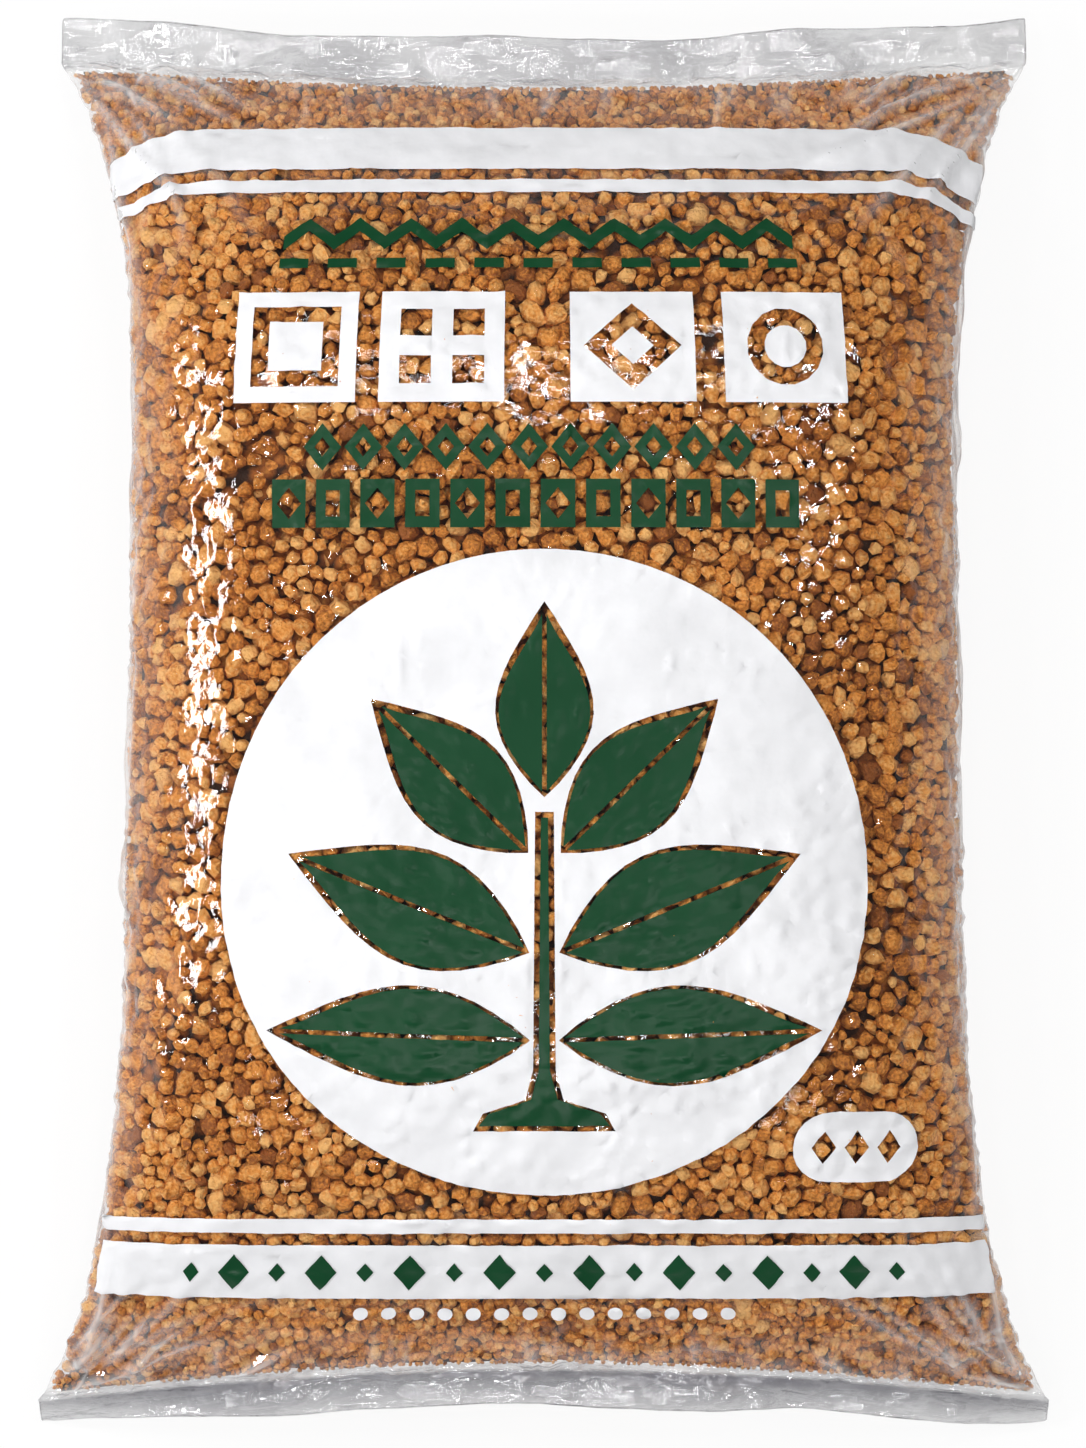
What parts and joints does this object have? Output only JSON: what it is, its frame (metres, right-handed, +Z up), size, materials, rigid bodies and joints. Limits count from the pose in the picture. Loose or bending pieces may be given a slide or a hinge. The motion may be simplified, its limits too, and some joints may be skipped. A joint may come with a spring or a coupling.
{
  "type": "bag of bonsai soil",
  "caption": "Clear film pillow bag with sealed ends, full of fired clay granules, lying on its back.",
  "frame": {"origin": "middle of the outline, on the surface that the bag lies on", "axes": "+Z up out of the printed front, +Y towards the bag's top seal, +X across the bag"},
  "size_m": [0.4002, 0.5558, 0.116],
  "materials": {
    "clear_film": "clear, glossy, finely creased",
    "clay": "matt, granular",
    "white_ink": "opaque print on film",
    "green_ink": "opaque print on film"
  },
  "bodies": {
    "root": {"film_bag": "clear_film", "soil_fill": "clay"}
  },
  "joints": []
}
